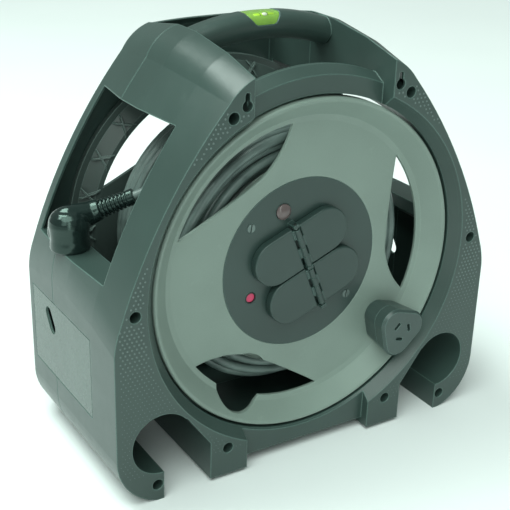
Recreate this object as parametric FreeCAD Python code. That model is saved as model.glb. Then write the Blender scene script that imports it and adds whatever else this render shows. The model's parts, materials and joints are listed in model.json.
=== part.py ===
import FreeCAD, Part
import math
import os

V = FreeCAD.Vector

# Cassette extension cord reel, in millimetres. X runs across the reel, Y runs from its front to its back,
# and Z is up. Functions work with z measured from the drum's axis, and save() lifts every shape to the floor.

# ---- driving dimensions ------------------------------------------------------------------------------
axis_height = 201.0        # floor to drum axis
flange_radius = 170.0      # outside of the drum's flanges
knob_front = -114.0        # front of the winding knob, the foremost point
front_y = -107.0           # front faces of the two columns
nose_y = -2.0              # front of the carrying handle, where the sloping roof ends
seam_y = 34.0              # parting plane of the two shells
taper_y = 97.0             # where the rear shell starts to turn inward
rear_y = 114.0             # back of the rear shell
wall = 3.0                 # shell wall
clearance = 0.4            # running gap between moving plastic parts

half_width = 215.5         # axis to the outside of the shell
tunnel_radius = 172.5      # round opening that the drum turns in
recess_radius = 182.0      # the same opening at the front face, where it is bevelled
tunnel_back_y = -66.0      # where that opening's wall ends inside
hand_half = 76.5           # half the width of the hand opening
handle_drop = 27.0         # height of the handle's section
handle_back = 30.0         # back of the handle
handle_round = 12.0        # radius of the handle's long edges
crown = 230.4              # top of the handle over the axis
crown_radius = 250.0       # the handle is arched along X with this radius
arch_z = crown - crown_radius + 0.8                    # centre of that arch
roof_y = -60.0             # where the roof has made most of its rise
roof_fullness = 0.6
rear_fullness = 0.45       # how much of the handle's fullness is left where the rear shell turns inward
low_back_z = 208.0         # top of the rear wall behind the hand opening
rail_y = -90.0             # front of the rail between the columns
rail_rise = 190.5          # radius where the rail's front face ends
rail_radius = 197.5        # outside of the rail
rail_run = 13.0            # depth of the slope between those two
rail_depth = 17.0
belly_y = -97.0            # front of the belly between the feet
belly_half = 74.5
belly_z = -190.0
foot_edge = 116.0          # outer edge of the inner feet
foot_z = -197.0

hook_x, hook_z, hook_radius = 168.0, -139.4, 31.5      # tube hook in each lower corner
hook_lip = 167.0           # inner edge of the hook's lip

window_y0, window_y1 = -64.5, 85.0                     # side windows
window_z0, window_z1 = 15.3, 154.0
vial_back = 24.0           # back of the spirit level's notch
sill_inner = 181.0         # inner edge of the flat sill under each side window
slot_y, slot_z = 43.5, -65.5                           # oval finger slot in each side wall
slot_radius = 7.5
slot_half = 7.0            # half the distance between the centres of its two ends
slot_lean = 36.0           # how far its top leans to the back, in degrees

arm_y = -77.0              # front face of the flange's three arms
rim_y = -95.0              # front edge of the flange's rim
dish_radius = 147.0        # where the flat flange turns into its bevelled rim
rear_plate_y = 84.0        # inner face of the rear flange
rear_rim_y = 102.0
spoke_y = 104.6            # front of the rear shell's three spokes, just behind the drum
panel_radius = 88.0
core_radius = 89.0
core_inner = 85.0
winding_radius = 131.0
winding_y0, winding_y1 = -68.5, 81.0
cord_diameter = 9.5

spindle_radius = 8.0
hub_radius = 15.0

hinge_angle = -68.0        # direction of the lids' hinge bar, from +X towards +Z
lid_width = 48.0
lid_reach = 55.0           # hinge line to the lid's round end
lid_centre = (4.5, -2.0)   # middle of the hinge bar
lid_back_y = -78.4         # back edge of a closed lid
lid_front_y = -86.0
lid_round = 1.6            # radius of the lids' front edges
hinge_y = -86.4
hinge_radius = 1.6
knuckle_radius = 3.2
knuckle_length = 10.6
knuckle_step = 11.0        # from one knuckle to the next along the bar

knob_x, knob_z = 106.4, -86.4
knob_split = -97.0         # where the turning grip starts
face_edge_y = -111.0       # where the knob's face starts to round over
knob_turn = 133.0          # direction of one of the knob's corners
lens_spot = (-22.5, 57.5)
button_spot = (-56.7, -26.0)
screw_spots = [(97.2, 167.3), (194.1, -0.3), (96.6, -167.0), (173.8, -183.5)]
access_radius = 30.0       # round hole in the front flange that lets the plug through
access_place = (132.5, 241.0)                          # its radius and direction
panel_screw_angles = (141.0, -39.0)
flange_screw_angles = (15.0, 75.0, 135.0, 195.0, 255.0, 315.0)
floor_y = 20.0             # front of the floor inside the drum's core
tail_y = 10.5              # where the cord's inner end comes in through the core
post_radius = 75.0         # circle of the screws that hold the panel and the rear flange


# ---- small helpers -----------------------------------------------------------------------------------
def box(x0, x1, y0, y1, z0, z1):
    return Part.makeBox(x1 - x0, y1 - y0, z1 - z0, V(x0, y0, z0))


def cylinder(radius, y0, y1, x=0.0, z=0.0):
    """A cylinder along Y."""
    return Part.makeCylinder(radius, y1 - y0, V(x, y0, z), V(0, 1, 0))


def tube(outer, inner, y0, y1, x=0.0, z=0.0):
    return cylinder(outer, y0, y1, x, z).cut(cylinder(inner, y0 - 1, y1 + 1, x, z))


def outline(start, steps, y=0.0):
    """A closed wire in an XZ plane: a step is (x, z) for a line or ((x, z), (x, z)) for an arc and its end."""
    edges = []
    here = V(start[0], y, start[1])
    for step in steps:
        if isinstance(step[0], tuple):
            middle = V(step[0][0], y, step[0][1])
            there = V(step[1][0], y, step[1][1])
            edges.append(Part.Arc(here, middle, there).toShape())
        else:
            there = V(step[0], y, step[1])
            edges.append(Part.makeLine(here, there))
        here = there
    first = V(start[0], y, start[1])
    if here.distanceToPoint(first) > 1e-6:
        edges.append(Part.makeLine(here, first))
    return Part.Wire(edges)


def prism(start, steps, y0, y1):
    return Part.Face(outline(start, steps, y0)).extrude(V(0, y1 - y0, 0))


def turned(points):
    """A solid of revolution about the drum's axis from (radius, y) points."""
    wire = Part.makePolygon([V(r, y, 0) for r, y in points] + [V(points[0][0], points[0][1], 0)])
    return Part.Face(wire).revolve(V(0, 0, 0), V(0, 1, 0), 360)


def mirrored(shape):
    return shape.mirror(V(0, 0, 0), V(1, 0, 0))


def both(shape):
    """The shape and its mirror image across the YZ plane, as one."""
    return shape.fuse(mirrored(shape))


def fused(shapes):
    return shapes[0].fuse(shapes[1:]) if len(shapes) > 1 else shapes[0]


def turn(shape, angle, x=0.0, z=0.0):
    """Turns a shape about an axis along Y, so that +X moves towards +Z."""
    result = shape.copy()
    result.rotate(V(x, 0, z), V(0, -1, 0), angle)
    return result


def polar(radius, angle):
    return radius * math.cos(math.radians(angle)), radius * math.sin(math.radians(angle))


def save(name, shape):
    """Writes one node, lifted from the drum's axis to the floor."""
    result = shape.copy()
    result.translate(V(0, 0, axis_height))
    if not result.isValid():
        print("not valid:", name)
    result.exportStep("parts/" + name + ".step")
    print("%-22s solids %2d  volume %8.1f cm3" % (name, len(result.Solids), result.Volume / 1000))


# ---- shells ------------------------------------------------------------------------------------------
def down_the_other_side(start, steps):
    """The same steps again, mirrored across the YZ plane and taken backwards."""
    ends = [start] + [step[1] if isinstance(step[0], tuple) else step for step in steps]
    result = [(-ends[-1][0], ends[-1][1])]
    for step, (x, z) in zip(reversed(steps), reversed(ends[:-1])):
        if isinstance(step[0], tuple):
            result.append(((-step[0][0], step[0][1]), (-x, z)))
        else:
            result.append((-x, z))
    return result


front_profile = [
    (half_width, -36.0), ((213.0, -21.0), (209.0, -8.5)), ((162.5, 95.7), (102.0, 180.5)),
    ((91.0, 192.0), (hand_half, 200.8)), ((48.0, 205.0), (20.0, 206.5)),
]
handle_profile = [
    (half_width, -18.0), ((214.0, -3.0), (210.5, 10.0)), ((170.0, 101.5), (111.0, 191.0)),
    ((97.5, 209.5), (hand_half, 219.8)), ((48.0, 226.4), (20.0, crown)),
]


def between(first, second, share):
    """The steps of one profile, moved a share of the way to another profile's."""
    if isinstance(first, tuple):
        return tuple(between(a, b, share) for a, b in zip(first, second))
    return first + (second - first) * share


def frame_outline(scale, fullness, y):
    """The frame's outline without hooks or feet: fullness runs from 0 at its front to 1 at the handle."""
    flank = [between(a, b, fullness) for a, b in zip(front_profile, handle_profile)]
    start = (174.0, -axis_height)
    right = [((201.5, -183.5), (half_width, -148.0))] + flank
    wire = outline(start, right + down_the_other_side(start, right), y)
    wire.scale(scale, V(0, y, 0))
    return wire


def loft(wires, straight=True):
    return Part.makeLoft(wires, True, straight)


def front_body(inset):
    """The front shell's outer form, or the hollow inside it when inset is above 0."""
    scale = 1 - inset / half_width
    sloping = loft([
        frame_outline(scale, 0.0, front_y + inset),
        frame_outline(scale, roof_fullness, roof_y),
        frame_outline(scale, 1.0, nose_y),
    ])
    straight = Part.Face(frame_outline(scale, 1.0, nose_y)).extrude(V(0, seam_y - nose_y, 0))
    return sloping.fuse(straight)


def rear_body(inset):
    scale = 1 - inset / half_width
    return loft([
        frame_outline(scale, 1.0, seam_y),
        frame_outline(scale, rear_fullness, taper_y),
        frame_outline(0.955 * scale, 0.7 * rear_fullness, rear_y - inset),
    ])


def seam_groove():
    """The fine groove that runs round the shells where they meet."""
    ring = Part.Face(frame_outline(1.02, 1.0, seam_y - 0.5)).extrude(V(0, 1.0, 0))
    return ring.cut(Part.Face(frame_outline(1 - 0.9 / half_width, 1.0, seam_y - 0.6)).extrude(V(0, 1.2, 0)))


def hook_channel(grow):
    """The right channel that hooks over a scaffold tube, grown outwards by a wall or not."""
    y0, y1 = front_y - 5, rear_y + 5
    mouth = prism(
        (142.5 - 0.8 * grow, -119.3 + 0.6 * grow),
        [
            (foot_edge - grow, -156.0),
            (foot_edge - grow, -axis_height - 5),
            (hook_lip + grow, -axis_height - 5),
            (hook_lip + grow, hook_z),
        ],
        y0,
        y1,
    )
    return mouth.fuse(cylinder(hook_radius + grow, y0, y1, hook_x, hook_z))


def handle_bar(grow):
    """The handle's rounded section, arched along X: grown by a wall or shrunk."""
    top, low = crown + grow, crown - handle_drop - grow
    front, back = nose_y - grow, handle_back + grow
    r = handle_round + grow
    corners = [(front, low, 1, 1), (front, top, 1, -1), (back, top, -1, -1), (back, low, -1, 1)]
    points = []
    for y, z, inward, upward in corners:
        beside = V(0, y, z + upward * r)
        middle = V(0, y + inward * 0.293 * r, z + upward * 0.293 * r)
        along = V(0, y + inward * r, z)
        points.append((along, middle, beside) if inward == upward else (beside, middle, along))
    edges = []
    for (start, middle, end), (following, _, _) in zip(points, points[1:] + points[:1]):
        edges.append(Part.Arc(start, middle, end).toShape())
        edges.append(Part.makeLine(end, following))
    section = Part.Face(Part.Wire(edges))
    section.rotate(V(0, 0, arch_z), V(0, 1, 0), -19.0)
    bar = section.revolve(V(0, 0, arch_z), V(0, 1, 0), 38.0)
    return bar.common(box(-hand_half - 2, hand_half + 2, nose_y - 5, seam_y, 100, 260))


def rail_strip():
    """The bent plate between the columns, over the drum."""
    strip = turned([
        (tunnel_radius, rail_y), (rail_rise, rail_y), (rail_radius, rail_y + rail_run),
        (rail_radius, rail_y + rail_depth), (rail_radius - wall, rail_y + rail_depth),
        (rail_rise - 2.5, rail_y + wall), (tunnel_radius, rail_y + wall),
    ])
    return strip.common(box(-hand_half - 1, hand_half + 1, rail_y - 1, rail_y + 30, 100, 240))


def space_over_rail():
    """What is open above and in front of the rail."""
    over = turned([
        (rail_rise, rail_y), (300.0, rail_y), (300.0, rail_y + rail_depth),
        (rail_radius, rail_y + rail_depth), (rail_radius, rail_y + rail_run),
    ])
    return over.common(box(-hand_half, hand_half, rail_y - 1, rail_y + 30, 100, 260))


def side_window():
    return box(100, 240, window_y0, window_y1, window_z0, window_z1)


def sill(y0, y1):
    """The flat sill under the right window, with the skirt that drops from its inner edge."""
    plate = box(sill_inner - wall, 209, y0, y1, window_z0 - wall, window_z0)
    skirt = box(sill_inner - wall, sill_inner, y0, y1, window_z0 - 14, window_z0)
    return plate.fuse(skirt)


def label_pocket():
    return box(half_width - 1.5, half_width + 5, -54, 88, -126, -42)


def oval_slot(depth_inside):
    """A leaning oval finger slot through the label panel and the shell's wall, on the right side."""
    x0, x1 = half_width - depth_inside, half_width + 10
    ends = [Part.makeCylinder(slot_radius, x1 - x0, V(x0, slot_y, slot_z + side * slot_half), V(1, 0, 0))
            for side in (-1, 1)]
    middle = box(x0, x1, slot_y - slot_radius, slot_y + slot_radius, slot_z - slot_half, slot_z + slot_half)
    slot = ends[0].fuse([ends[1], middle])
    slot.rotate(V(0, slot_y, slot_z), V(1, 0, 0), -slot_lean)
    return slot


def common_walls():
    """Walls that both shells have inside: the hook channels, the feet and the hand opening's sides."""
    channel = hook_channel(wall)
    foot = box(belly_half - wall, foot_edge + wall, front_y - 1, rear_y + 1, -axis_height, foot_z + wall)
    belly = box(-belly_half - wall, belly_half + wall, front_y - 1, rear_y + 1, -axis_height, belly_z + wall)
    cheek = box(hand_half, hand_half + wall, rail_y, rear_y, 150, 260)
    return fused([both(channel), both(foot), belly, both(cheek)])


def common_openings():
    below_foot = box(belly_half, foot_edge, front_y - 5, rear_y + 5, -axis_height - 5, foot_z)
    below_belly = box(-belly_half, belly_half, front_y - 5, rear_y + 5, -axis_height - 5, belly_z)
    drum_space = cylinder(tunnel_radius, tunnel_back_y - 1, spoke_y - 0.6)
    return fused([both(hook_channel(0)), both(below_foot), below_belly, both(side_window()),
                  park_space(), both(label_pocket()), both(oval_slot(12)), drum_space])


def boss_posts(radius, y0, y1):
    posts = [cylinder(radius, y0, y1, x, z) for x, z in screw_spots]
    return both(fused(posts))


def keyhole():
    """A wall-hanging keyhole in the right column."""
    return fused([
        cylinder(5.2, front_y - 1, front_y + 8, 83.8, 176.5),
        cylinder(2.6, front_y - 1, front_y + 8, 83.8, 186.0),
        box(81.2, 86.4, front_y - 1, front_y + 8, 176.5, 186.0),
    ])


def vial_notch(grow, y0, y1):
    """A notch with sloping sides and a rounded floor across the handle's front edge."""
    top, floor = crown + 12, crown - 11.5 - grow
    return prism(
        (-23.0 - grow, top),
        [(-18.5 - grow, crown - 2), (-13.0 - grow, floor + 3),
         ((-11.0 - grow, floor + 0.9), (-8.0, floor)), (8.0, floor),
         ((11.0 + grow, floor + 0.9), (13.0 + grow, floor + 3)),
         (18.5 + grow, crown - 2), (23.0 + grow, top)],
        y0,
        y1,
    )


def front_shell():
    tunnel = turned([
        (tunnel_radius, tunnel_back_y), (tunnel_radius, rim_y), (recess_radius, front_y),
        (recess_radius + wall, front_y), (recess_radius + wall, front_y + wall),
        (tunnel_radius + wall, rim_y + 2), (tunnel_radius + wall, tunnel_back_y),
    ])
    handle_wall = handle_bar(0).cut(handle_bar(-wall))
    belly_front = box(-belly_half - wall, belly_half + wall, front_y, belly_y + wall, -axis_height, -120)
    vial_wall = vial_notch(wall, nose_y, vial_back + wall).common(handle_bar(0))
    columns_side = both(box(hand_half, hand_half + wall, front_y, rail_y + 5, 120, 260))
    walls = fused([
        common_walls(), tunnel, rail_strip(), handle_wall, belly_front, vial_wall,
        columns_side, boss_posts(8.5, front_y, seam_y),
        both(sill(window_y0 - wall, seam_y)),
    ])
    outer = front_body(0)
    shell = outer.cut(front_body(wall).cut(walls))
    bevel = turned([
        (0, front_y - 1), (recess_radius + 0.7, front_y - 1), (tunnel_radius, rim_y),
        (tunnel_radius, tunnel_back_y), (0, tunnel_back_y),
    ])
    hand_front = box(-hand_half, hand_half, rail_y + rail_depth, seam_y + 1, 150, 260)
    hand_front = hand_front.cut([handle_bar(0), cylinder(tunnel_radius + wall, rail_y, tunnel_back_y)])
    rail_front = box(-hand_half, hand_half, front_y - 5, rail_y, 100, 260)
    belly_gap = box(-belly_half, belly_half, front_y - 5, belly_y, -axis_height - 5, -140)
    openings = fused([
        common_openings(), bevel, hand_front, rail_front, belly_gap, space_over_rail(),
        both(keyhole()), vial_notch(0, nose_y - 15, vial_back), seam_groove(),
        boss_posts(5.6, front_y - 1, seam_y - 14), boss_posts(2.2, front_y, seam_y + 1),
    ])
    return shell.cut(openings)


def rear_shell():
    spokes = [turn(box(20, 166, spoke_y, rear_y - 1, -8, 8), angle) for angle in (90, 210, 330)]
    hub = cylinder(30.0, spoke_y - 8, rear_y)
    walls = fused([
        common_walls(), both(sill(seam_y, window_y1 + wall)),
        boss_posts(7.5, seam_y, rear_y - 1),
    ])
    shell = rear_body(0).cut(rear_body(wall).cut(walls))
    hand_rear = box(-hand_half, hand_half, seam_y - 1, taper_y - 4, 150, 260)
    low_back = box(-hand_half, hand_half, taper_y - 5, rear_y + 5, low_back_z, 260)
    openings = fused([
        common_openings(), hand_rear, low_back, seam_groove(), cylinder(160.0, 90, rear_y + 5),
        boss_posts(2.05, seam_y - 1, seam_y + 32),
    ])
    spider = fused(spokes + [hub]).cut(cylinder(spindle_radius, 90, rear_y + 5))
    return shell.cut(openings).fuse(spider)


def label_plate():
    """A smooth plate set into the right side wall, for a rating label."""
    plate = box(half_width - 1.5, half_width, -53.2, 87.2, -125.2, -42.8)
    return plate.cut(oval_slot(12)).cut(hook_channel(wall))


def shell_screws():
    screws = []
    for x, z in screw_spots:
        for side in (-1, 1):
            head = cylinder(4.2, seam_y - 17.5, seam_y - 14.0, side * x, z)
            shank = cylinder(2.0, seam_y - 14.0, seam_y + 30.0, side * x, z)
            cross = box(side * x - 0.6, side * x + 0.6, seam_y - 18, seam_y - 15.7, z - 2.4, z + 2.4)
            cross = cross.fuse(box(side * x - 2.4, side * x + 2.4, seam_y - 18, seam_y - 15.7, z - 0.6, z + 0.6))
            screws.append(head.fuse(shank).cut(cross))
    return Part.makeCompound(screws)


def vial():
    """The spirit level: an acrylic block in the handle's notch, with the tube's hollow inside."""
    return vial_notch(-0.15, nose_y + 0.5, vial_back - 0.2).common(handle_bar(-0.6))


# ---- drum --------------------------------------------------------------------------------------------
def flange_window(y0, y1):
    """One leaf-shaped window, centred on +X: its inner edge is a short bend and a long, nearly straight run."""
    inner = prism(
        (150.0, -122.0),
        [(113.5, -92.0), ((101.8, -63.0), (100.5, -32.0)), ((109.5, 0.0), (131.5, 64.0)), (190.0, 90.0)],
        y0,
        y1,
    )
    return inner.common(cylinder(dish_radius - 2.0, y0, y1))


window_angles = (135.0, 15.0, 255.0)


def front_flange():
    plate = turned([
        (82.0, arm_y + 1.0), (panel_radius + 0.3, arm_y + 1.0), (panel_radius + 0.3, arm_y),
        (dish_radius - 3, arm_y), (dish_radius + 3, arm_y - 1.5), (flange_radius - 4, rim_y + 1.0),
        (flange_radius - 1.5, rim_y), (flange_radius, rim_y + 1.5), (flange_radius, rim_y + 14.0),
        (flange_radius - 2.2, rim_y + 14.0), (flange_radius - 2.2, rim_y + 5.0),
        (dish_radius + 4, arm_y + 2.0), (dish_radius, arm_y + 3.0), (82.0, arm_y + 4.0),
    ])
    socket_ring = tube(core_inner - 0.3, 82.0, arm_y + 3.5, arm_y + 12)
    body = plate.fuse(socket_ring)
    for angle in window_angles:
        body = body.cut(turn(flange_window(rim_y - 5, arm_y + 3.6), angle))
    access = cylinder(access_radius, rim_y - 5, arm_y + 3.6, *polar(*access_place))
    bolt_hole = cylinder(4.05, arm_y - 5, arm_y + 10, knob_x, knob_z)
    return body.cut(access).cut(bolt_hole)


def diamond_ribs():
    """Crossed ribs on the inside of the rear flange's bevelled rim."""
    count = 24
    ribs = []
    for k in range(count):
        for lean in (-1, 1):
            rib = box(dish_radius - 6, flange_radius + 2, rear_plate_y - 4, rear_rim_y + 4, -0.8, 0.8)
            rib.rotate(V(157, 0, 0), V(0, 1, 0), lean * 38)
            ribs.append(turn(rib, 360.0 * k / count))
    net = Part.makeCompound(ribs)
    band = turned([
        (dish_radius, rear_plate_y - 0.5), (dish_radius + 4, rear_plate_y - 1.0),
        (flange_radius - 8, rear_rim_y - 12.0), (flange_radius - 6, rear_rim_y - 7.5),
        (dish_radius, rear_plate_y + 1.5),
    ])
    return [band.common(rib) for rib in net.Solids]


def rear_flange():
    plate = turned([
        (hub_radius, rear_plate_y), (dish_radius - 2, rear_plate_y), (dish_radius + 3, rear_plate_y + 1.0),
        (flange_radius - 7, rear_rim_y - 6.5), (flange_radius, rear_rim_y - 6.5),
        (flange_radius, rear_rim_y), (flange_radius - 3, rear_rim_y), (dish_radius, rear_plate_y + 3.0),
        (hub_radius, rear_plate_y + 3.0),
    ])
    hub = tube(hub_radius + 3.0, hub_radius - 3.0, 12.0, rear_plate_y + 3.0)
    spigot = tube(core_inner - 0.3, core_inner - 4.0, rear_plate_y - 14, rear_plate_y + 0.5)
    rim = plate.cut(cylinder(hub_radius, rear_plate_y - 5, rear_plate_y + 5))
    body = fused([rim, hub, spigot])
    for angle in window_angles:
        body = body.cut(turn(flange_window(rear_plate_y - 3, rear_plate_y + 3.6), angle))
    body = body.fuse(diamond_ribs())
    for angle in flange_screw_angles:
        x, z = polar(post_radius, angle)
        body = body.cut(cylinder(2.1, rear_plate_y - 2, rear_plate_y + 6, x, z))
    return body


def core_post(angle, y0, y1, screw_end):
    """A screw post with a web to the core's wall, bored from screw_end to the post's free end."""
    x, z = polar(post_radius, angle)
    post = cylinder(5.5, y0, y1, x, z)
    web = turn(box(post_radius + 2, core_inner + 1, y0, y1 - 15, -1.5, 1.5), angle)
    bore = cylinder(1.9, screw_end, y1 + 1, x, z) if screw_end > y0 else cylinder(1.9, y0 - 1, y0 + 25, x, z)
    return post.fuse(web).cut(bore)


def drum_core():
    """The tube that the cord is wound on, with a floor that the terminals stand on."""
    shell = tube(core_radius, core_inner, arm_y + 4.0, rear_plate_y)
    floor = tube(core_inner + 1, hub_radius + 6.0, floor_y, floor_y + 3.0)
    posts = [core_post(angle, floor_y + 2, rear_plate_y, rear_plate_y - 25) for angle in flange_screw_angles]
    posts += [core_post(angle, -64.0, floor_y + 1, -65.0) for angle in panel_screw_angles]
    cord_hole = Part.makeCylinder(cord_diameter / 2 + 0.3, 10, V(0, tail_y, -core_radius - 2), V(0, 0, 1))
    return fused([shell, floor] + posts).cut(cord_hole)


def flange_screws():
    screws = []
    for angle in flange_screw_angles:
        x, z = polar(post_radius, angle)
        head = cylinder(3.8, rear_plate_y + 3.0, rear_plate_y + 5.6, x, z)
        shank = cylinder(1.85, rear_plate_y - 16, rear_plate_y + 3.0, x, z)
        slot = box(x - 2.6, x + 2.6, rear_plate_y + 4.2, rear_plate_y + 6, z - 0.5, z + 0.5)
        screws.append(head.fuse(shank).cut(slot))
    return Part.makeCompound(screws)


def socket_centres():
    """Centres of the four socket inserts, two on each side of the hinge bar."""
    spots = []
    for along in (-lid_width / 2 - 0.3, lid_width / 2 + 0.3):
        for across in (-31.0, 31.0):
            ax, az = polar(along, hinge_angle)
            bx, bz = polar(across, hinge_angle + 90)
            spots.append((ax + bx + lid_centre[0], az + bz + lid_centre[1]))
    return spots


def in_panel(shape):
    """Moves a shape made along X, with the hinge bar along Z, to the hinge bar's own place."""
    result = turn(shape, hinge_angle + 90)
    result.translate(V(lid_centre[0], 0, lid_centre[1]))
    return result


def socket_panel():
    disc = cylinder(panel_radius, arm_y - 0.2, arm_y + 1.0).fuse(cylinder(81.7, arm_y + 1.0, arm_y + 4.0))
    skirt = tube(81.7, 78.7, arm_y + 4.0, arm_y + 10.0)
    body = disc.fuse(skirt)
    for x, z in socket_centres():
        body = body.cut(cylinder(20.3, arm_y - 1, arm_y + 5, x, z))
    lugs = []
    for z in (-50.0, 0.0, 50.0):
        lug = box(-3.0, 3.0, hinge_y - 2.5, arm_y + 1.0, z - 1.6, z + 1.6)
        hole = Part.makeCylinder(hinge_radius + 0.02, 10, V(0, hinge_y, z - 5), V(0, 0, 1))
        lugs.append(in_panel(lug.cut(hole)))
    lens_hole = cylinder(8.3, arm_y - 1, arm_y + 5, *lens_spot)
    button_hole = cylinder(6.3, arm_y - 1, arm_y + 5, *button_spot)
    bosses = []
    holes = []
    for angle in panel_screw_angles:
        x, z = polar(post_radius, angle)
        bosses.append(cylinder(5.5, arm_y + 3.0, -64.2, x, z))
        holes.append(cylinder(4.6, arm_y - 1, arm_y + 1.6, x, z))
        holes.append(cylinder(2.1, arm_y - 1, -64.0, x, z))
    return fused([body] + lugs + bosses).cut(fused([lens_hole, button_hole] + holes))


def panel_screws():
    screws = []
    for angle in panel_screw_angles:
        x, z = polar(post_radius, angle)
        head = cylinder(4.4, arm_y - 0.6, arm_y + 1.6, x, z)
        shank = cylinder(1.85, arm_y + 1.6, -44.0, x, z)
        slot = turn(box(-4.5, 4.5, arm_y - 1, arm_y + 0.5, -0.6, 0.6), angle - 60)
        slot.translate(V(x, 0, z))
        screws.append(head.fuse(shank).cut(slot))
    return Part.makeCompound(screws)


pin_angles = (90, 210, 330)


def pin_slots(y0, y1, grow=0.0):
    """Three flat pin openings at 120 degrees, around the Y axis."""
    slots = []
    for angle in pin_angles:
        slot = box(-0.9 - grow, 0.9 + grow, y0, y1, -3.2 - grow, 3.2 + grow)
        slot = turn(slot, angle - 90)
        x, z = polar(8.0, angle)
        slot.translate(V(x, 0, z))
        slots.append(slot)
    return slots


def placed_pin_slots(x, z, y0, y1, grow=0.0):
    slots = []
    for slot in pin_slots(y0, y1, grow):
        slot = turn(slot, hinge_angle + 90)
        slot.translate(V(x, 0, z))
        slots.append(slot)
    return slots


def socket_insert(x, z):
    """A round socket face with three slots, and the cup behind it that holds the contacts."""
    face = cylinder(20.0, arm_y - 0.6, arm_y + 3.0, x, z)
    flange = cylinder(21.8, arm_y + 4.2, arm_y + 7.0, x, z)
    neck = cylinder(20.0, arm_y + 3.0, arm_y + 4.2, x, z)
    cup = tube(17.0, 14.5, arm_y + 7.0, arm_y + 22.0, x, z)
    return fused([face, neck, flange, cup]).cut(fused(placed_pin_slots(x, z, arm_y - 2, arm_y + 8)))


def socket_contacts():
    """Sprung brass contacts, one behind each slot."""
    contacts = []
    for x, z in socket_centres():
        outer = placed_pin_slots(x, z, arm_y + 7.6, arm_y + 21.6, 1.6)
        inner = placed_pin_slots(x, z, arm_y + 7.0, arm_y + 20.4, 0.7)
        contacts += [a.cut(b) for a, b in zip(outer, inner)]
    return Part.makeCompound(contacts)


def contact_spots(angle):
    """Where the contact at one pin angle lies in each of the four sockets."""
    dx, dz = polar(8.0, angle + hinge_angle + 90)
    return [(x + dx, z + dz) for x, z in socket_centres()]


def busbar(angle, y):
    """A brass strip that joins one contact of each of the four sockets, clear of the other two strips' stems."""
    spots = contact_spots(angle)
    order = [spots[0], spots[2], spots[3], spots[1]]
    strips = []
    for (ax, az), (bx, bz) in zip(order, order[1:]):
        strip = box(0, math.hypot(bx - ax, bz - az), y, y + 0.8, -3.5, 3.5)
        strip = turn(strip, math.degrees(math.atan2(bz - az, bx - ax)))
        strip.translate(V(ax, 0, az))
        strips.append(strip)
    pads = [cylinder(3.5, y, y + 0.8, x, z) for x, z in spots]
    stems = [cylinder(1.2, arm_y + 21.6, y, x, z) for x, z in spots]
    others = [spot for other in pin_angles if other != angle for spot in contact_spots(other)]
    gaps = [cylinder(2.2, y - 0.1, y + 0.9, x, z) for x, z in others]
    return fused(strips + pads + stems).cut(fused(gaps))


def terminal_block():
    block = box(-18, 18, 6.0, 20.0, -66, -50)
    wells = [cylinder(2.6, 5.0, 12.0, x, -58) for x in (-12, 0, 12)]
    mouths = [Part.makeCylinder(1.8, 18, V(x, 15.5, -67), V(0, 0, 1)) for x in (-12, 0, 12)]
    return block.cut(fused(wells + mouths))


def terminal_screws():
    screws = []
    for x in (-12, 0, 12):
        screw = cylinder(2.4, 7.0, 11.8, x, -58).cut(box(x - 2.5, x + 2.5, 6.0, 8.0, -58.4, -57.6))
        screws.append(screw)
    return Part.makeCompound(screws)


def thermal_cutout():
    """The overload cut-out behind the panel, with the barrel that its reset button slides in."""
    x, z = button_spot
    barrel = tube(6.2, 5.0, arm_y - 0.4, arm_y + 12.0, x, z)
    collar = tube(8.5, 5.0, arm_y + 4.1, arm_y + 6.0, x, z)
    body = box(x - 8, x + 8, arm_y + 12.0, arm_y + 36.0, z - 10, z + 10)
    well = cylinder(3.2, arm_y + 11, arm_y + 20, x, z)
    return fused([barrel, collar, body]).cut(well)


def reset_button():
    x, z = button_spot
    cap = cylinder(4.6, arm_y + 0.8, arm_y + 7.5, x, z)
    stem = cylinder(2.9, arm_y + 7.5, arm_y + 16.0, x, z)
    return cap.fuse(stem)


def pilot_lens():
    x, z = lens_spot
    dome = Part.makeSphere(11.0, V(x, arm_y + 6.0, z)).common(cylinder(8.0, arm_y - 6, arm_y + 0.0, x, z))
    stem = tube(8.0, 6.5, arm_y + 0.0, arm_y + 9.0, x, z)
    hollow = Part.makeSphere(9.5, V(x, arm_y + 6.0, z)).common(cylinder(6.5, arm_y - 5, arm_y + 1, x, z))
    ledge = tube(9.8, 7.0, arm_y + 4.1, arm_y + 5.6, x, z)
    return fused([dome, stem, ledge]).cut(hollow)


def pilot_lamp():
    """The small glow lamp inside the lens."""
    x, z = lens_spot
    bulb = cylinder(3.0, arm_y + 1.0, arm_y + 12.0, x, z).fuse(Part.makeSphere(3.0, V(x, arm_y + 1.0, z)))
    return bulb.fuse(cylinder(6.3, arm_y + 9.2, arm_y + 14.0, x, z))


def hinge_pin():
    pin = Part.makeCylinder(hinge_radius, 105, V(0, hinge_y, -52.5), V(0, 0, 1))
    return in_panel(pin)


def lid_form(width, reach, y0, y1):
    """A stadium with one square end at the hinge, pointing to +X, centred on z = 0."""
    radius = width / 2
    return prism(
        (4.7, -radius),
        [(reach - radius, -radius), ((reach, 0.0), (reach - radius, radius)), (4.7, radius)],
        y0,
        y1,
    )


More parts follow.
